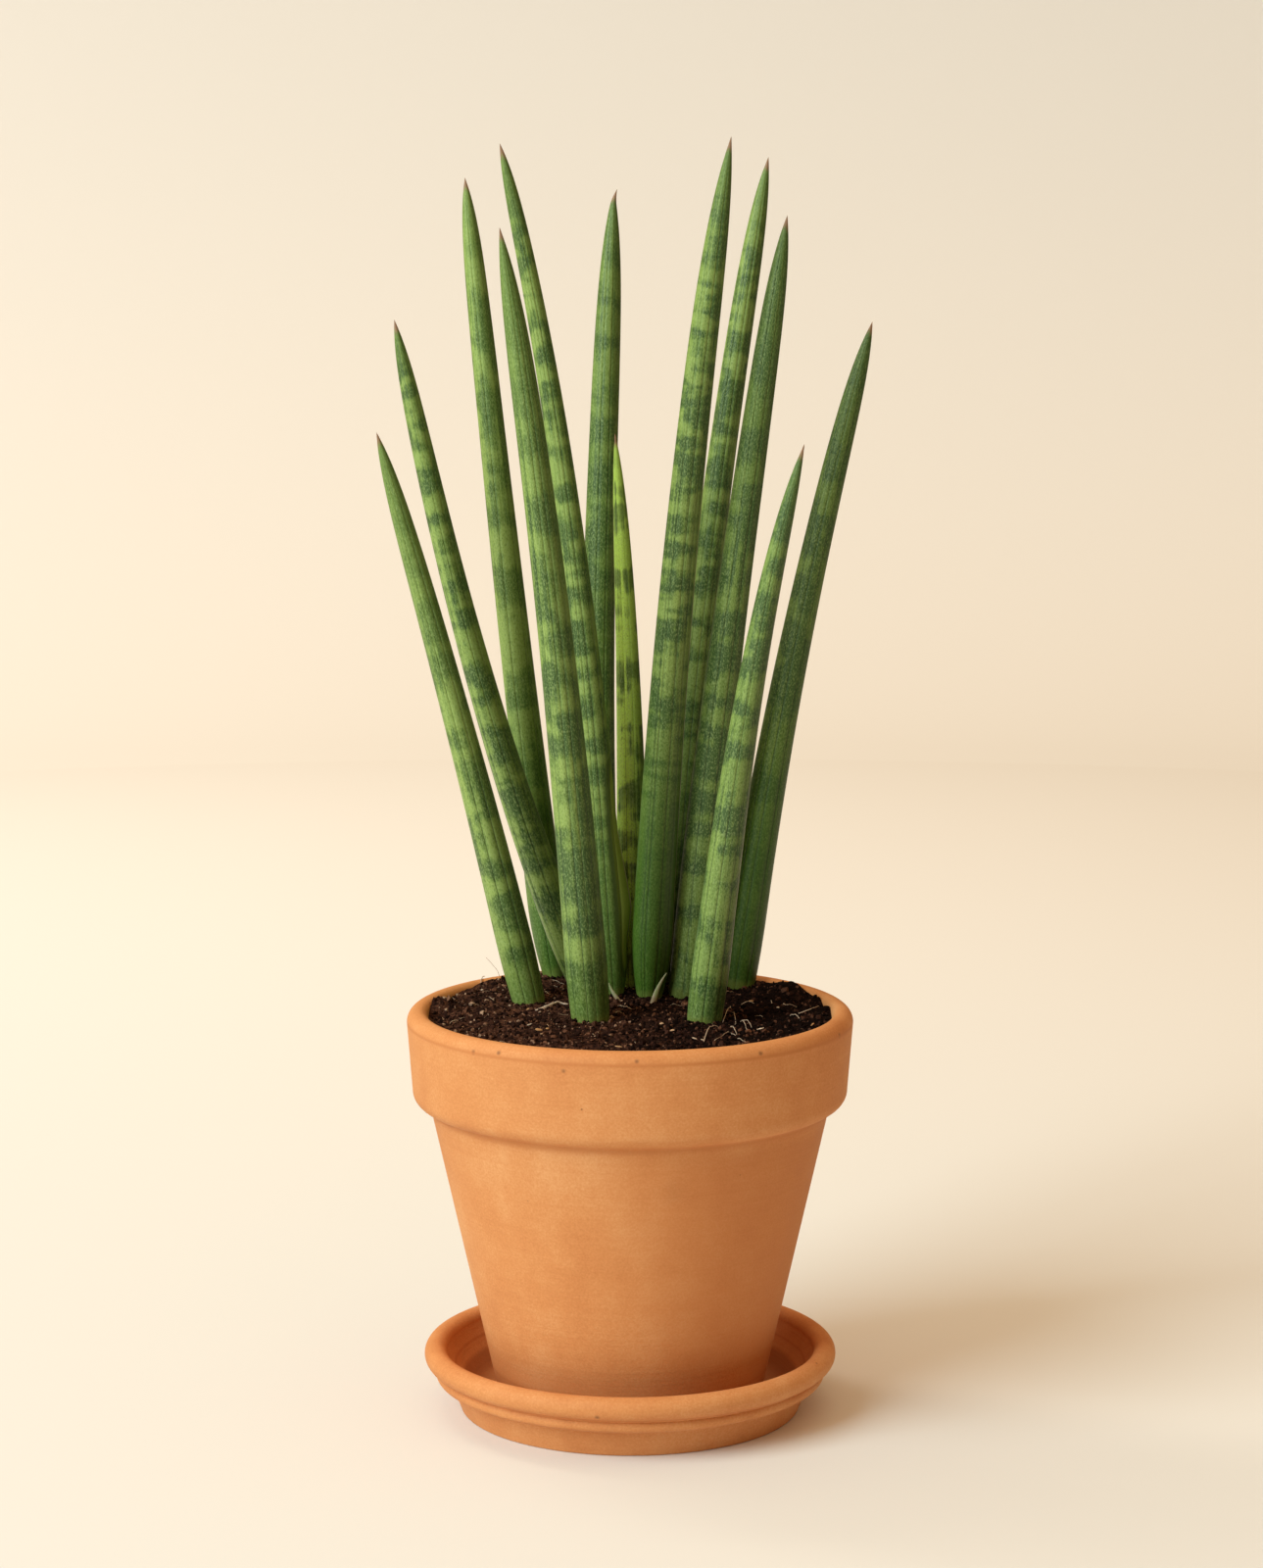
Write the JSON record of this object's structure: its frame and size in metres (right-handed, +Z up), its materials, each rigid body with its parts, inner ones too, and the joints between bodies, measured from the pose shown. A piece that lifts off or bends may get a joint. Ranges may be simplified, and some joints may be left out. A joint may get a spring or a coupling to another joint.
{
  "type": "potted snake plant",
  "caption": "Snake plant with upright, round, banded, pointed leaves in a turned terracotta flower pot with a wide collar, standing on its clay saucer.",
  "frame": {"origin": "centre of the saucer's flat underside, on the axis of the saucer and the pot", "axes": "+Z up along the pot's axis; -Y is the front, the side that the low front leaves stand on; +X to the right seen from the front"},
  "size_m": [0.1903, 0.1712, 0.4838],
  "materials": {
    "terracotta": "matte",
    "soil": "matte",
    "leaf": "satin",
    "dry_scale": "matte"
  },
  "bodies": {
    "root": {"saucer": "terracotta", "pot": "terracotta", "soil": "soil", "leaf_01": "leaf", "leaf_02": "leaf", "leaf_03": "leaf", "leaf_04": "leaf", "leaf_05": "leaf", "leaf_06": "leaf", "leaf_07": "leaf", "leaf_08": "leaf", "leaf_09": "leaf", "leaf_10": "leaf", "leaf_11": "leaf", "leaf_12": "leaf", "basal_scale_left": "dry_scale", "basal_scale_right": "dry_scale"}
  },
  "joints": []
}
